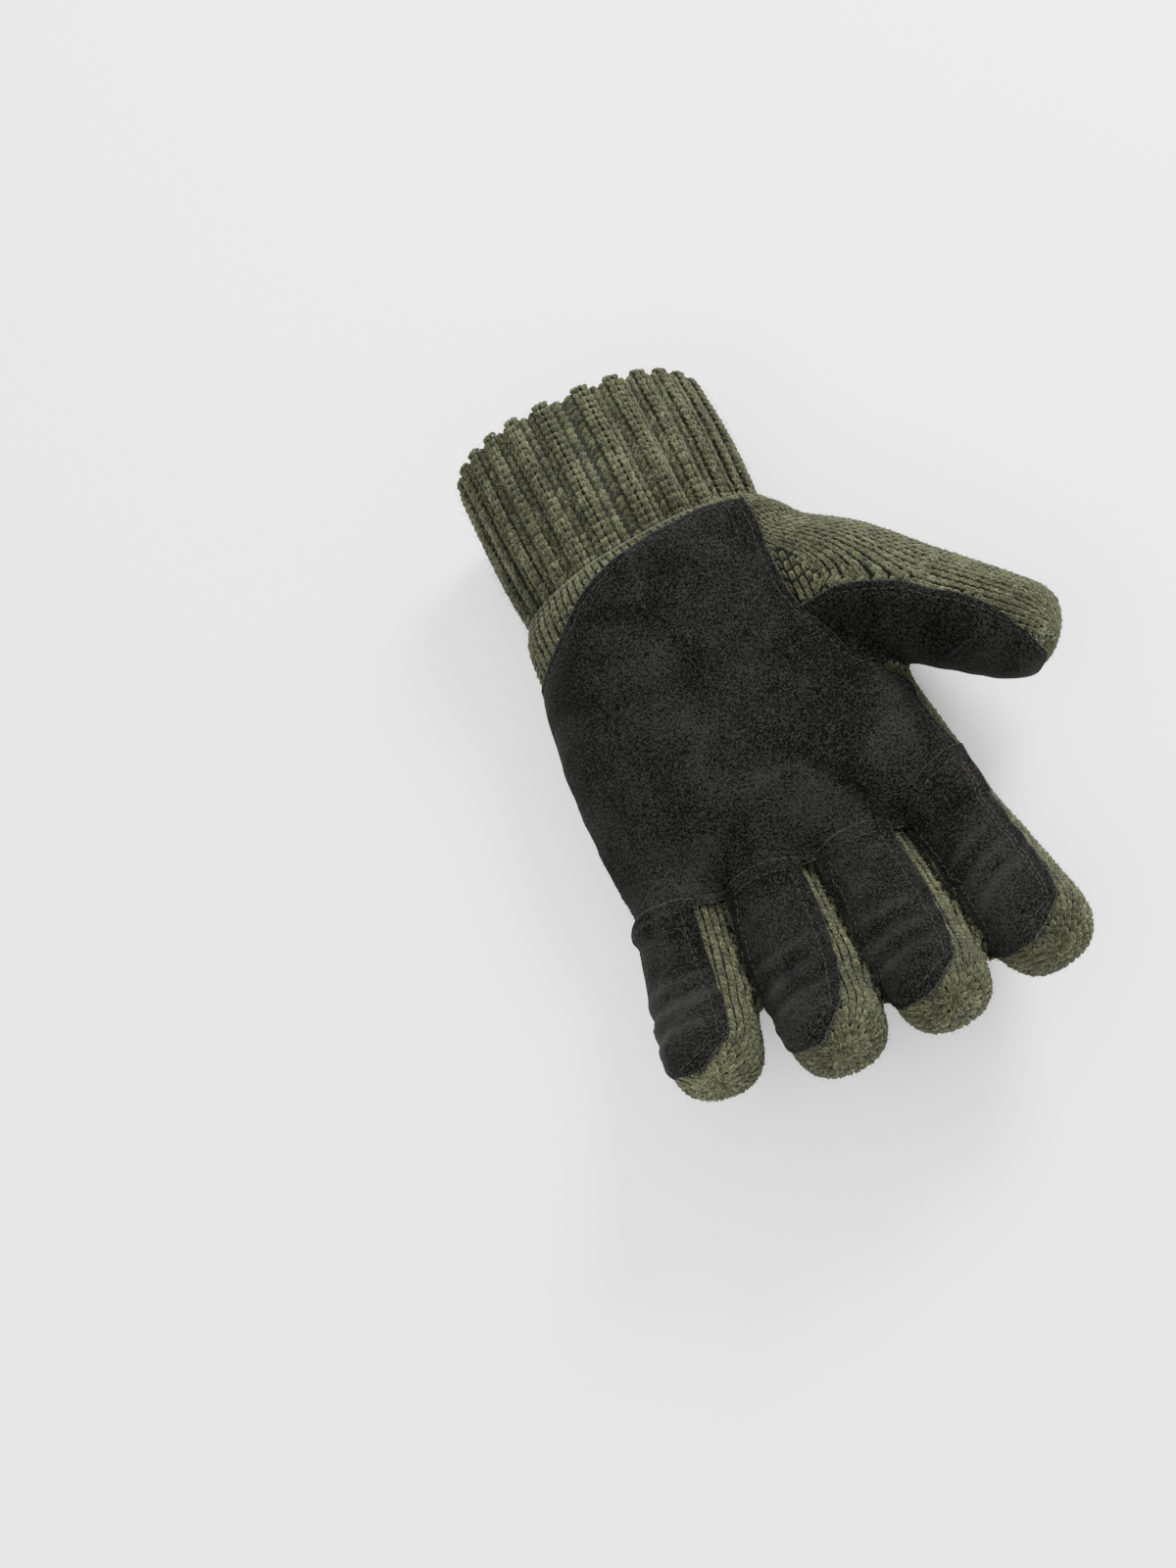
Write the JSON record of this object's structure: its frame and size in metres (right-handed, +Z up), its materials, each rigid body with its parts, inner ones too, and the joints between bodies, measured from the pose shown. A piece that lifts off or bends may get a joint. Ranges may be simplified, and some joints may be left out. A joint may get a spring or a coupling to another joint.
{
  "type": "insulated leather palm work glove",
  "caption": "Left-hand knitted wool winter work glove with a padded lining, ribbed cuff and black suede over the palm side, open for a hand.",
  "frame": {"origin": "on the flat under the back of the hand, where the glove rests palm up, straight below the middle of the palm", "axes": "+Z up out of the palm, fingers along -Y, thumb towards +X, cuff along +Y"},
  "size_m": [0.1629, 0.229, 0.0595],
  "materials": {
    "wool": "thick olive ragg wool knit, heathered, matt and hairy",
    "cuff_wool": "ribbed olive ragg wool, matt",
    "suede": "black split suede, matt, short nap"
  },
  "bodies": {
    "root": {"rib_cuff": "cuff_wool", "knit_hand": "wool", "knit_index": "wool", "knit_middle": "wool", "knit_ring": "wool", "knit_little": "wool", "knit_thumb": "wool", "palm_patch": "suede", "thumb_patch": "suede", "index_patch": "suede", "middle_patch": "suede", "ring_patch": "suede", "little_patch": "suede"}
  },
  "joints": []
}
